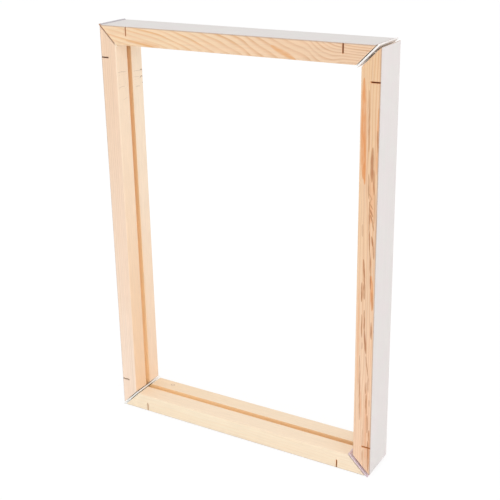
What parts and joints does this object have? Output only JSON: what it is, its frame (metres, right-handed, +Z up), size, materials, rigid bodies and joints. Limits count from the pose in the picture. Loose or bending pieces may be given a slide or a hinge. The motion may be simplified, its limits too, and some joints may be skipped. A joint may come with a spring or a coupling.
{
  "type": "screen printing frame",
  "caption": "Upright wooden screen printing frame with mitred, grooved bars, loose white plastic corner connectors and taped outer faces under release liner.",
  "frame": {"origin": "middle of the foot line, on the surface that the upright frame stands on", "axes": "+X across the frame to the right, +Y from the front face to the back face, +Z up along the long bars"},
  "size_m": [0.2986, 0.042, 0.4224],
  "materials": {
    "pine": "planed, unvarnished",
    "connector": "moulded white plastic",
    "tape": "double-sided adhesive tape",
    "release_liner": "satin light grey coated paper"
  },
  "bodies": {
    "bottom_side": {"bottom_bar": "pine", "bottom_tape": "tape", "bottom_release_liner": "release_liner"},
    "top_side": {"top_bar": "pine", "top_tape": "tape", "top_release_liner": "release_liner"},
    "left_side": {"left_bar": "pine", "left_tape": "tape", "left_release_liner": "release_liner"},
    "right_side": {"right_bar": "pine", "right_tape": "tape", "right_release_liner": "release_liner"},
    "bottom_left_corner": {"bottom_left_connector": "connector"},
    "bottom_right_corner": {"bottom_right_connector": "connector"},
    "top_left_corner": {"top_left_connector": "connector"},
    "top_right_corner": {"top_right_connector": "connector"}
  },
  "joints": [
    {"name": "widen_bottom_left", "type": "slide", "parent": "bottom_side", "child": "bottom_left_corner", "axis": [-1, 0, 0], "range_m": [0, 0.004]},
    {"name": "heighten_bottom_left", "type": "slide", "parent": "bottom_left_corner", "child": "left_side", "axis": [0, 0, 1], "range_m": [0, 0.004]},
    {"name": "heighten_top_left", "type": "slide", "parent": "left_side", "child": "top_left_corner", "axis": [0, 0, 1], "range_m": [0, 0.004]},
    {"name": "widen_top_left", "type": "slide", "parent": "top_left_corner", "child": "top_side", "axis": [1, 0, 0], "range_m": [0, 0.004]},
    {"name": "widen_bottom_right", "type": "slide", "parent": "bottom_side", "child": "bottom_right_corner", "axis": [1, 0, 0], "range_m": [0, 0.004]},
    {"name": "heighten_bottom_right", "type": "slide", "parent": "bottom_right_corner", "child": "right_side", "axis": [0, 0, 1], "range_m": [0, 0.004]},
    {"name": "heighten_top_right", "type": "slide", "parent": "right_side", "child": "top_right_corner", "axis": [0, 0, 1], "range_m": [0, 0.004]}
  ],
  "couplings": [
    {"joint": "widen_bottom_right", "follows": "widen_bottom_left", "ratio": 1},
    {"joint": "widen_top_left", "follows": "widen_bottom_left", "ratio": 1},
    {"joint": "heighten_top_left", "follows": "heighten_bottom_left", "ratio": 1},
    {"joint": "heighten_bottom_right", "follows": "heighten_bottom_left", "ratio": 1},
    {"joint": "heighten_top_right", "follows": "heighten_bottom_left", "ratio": 1}
  ]
}
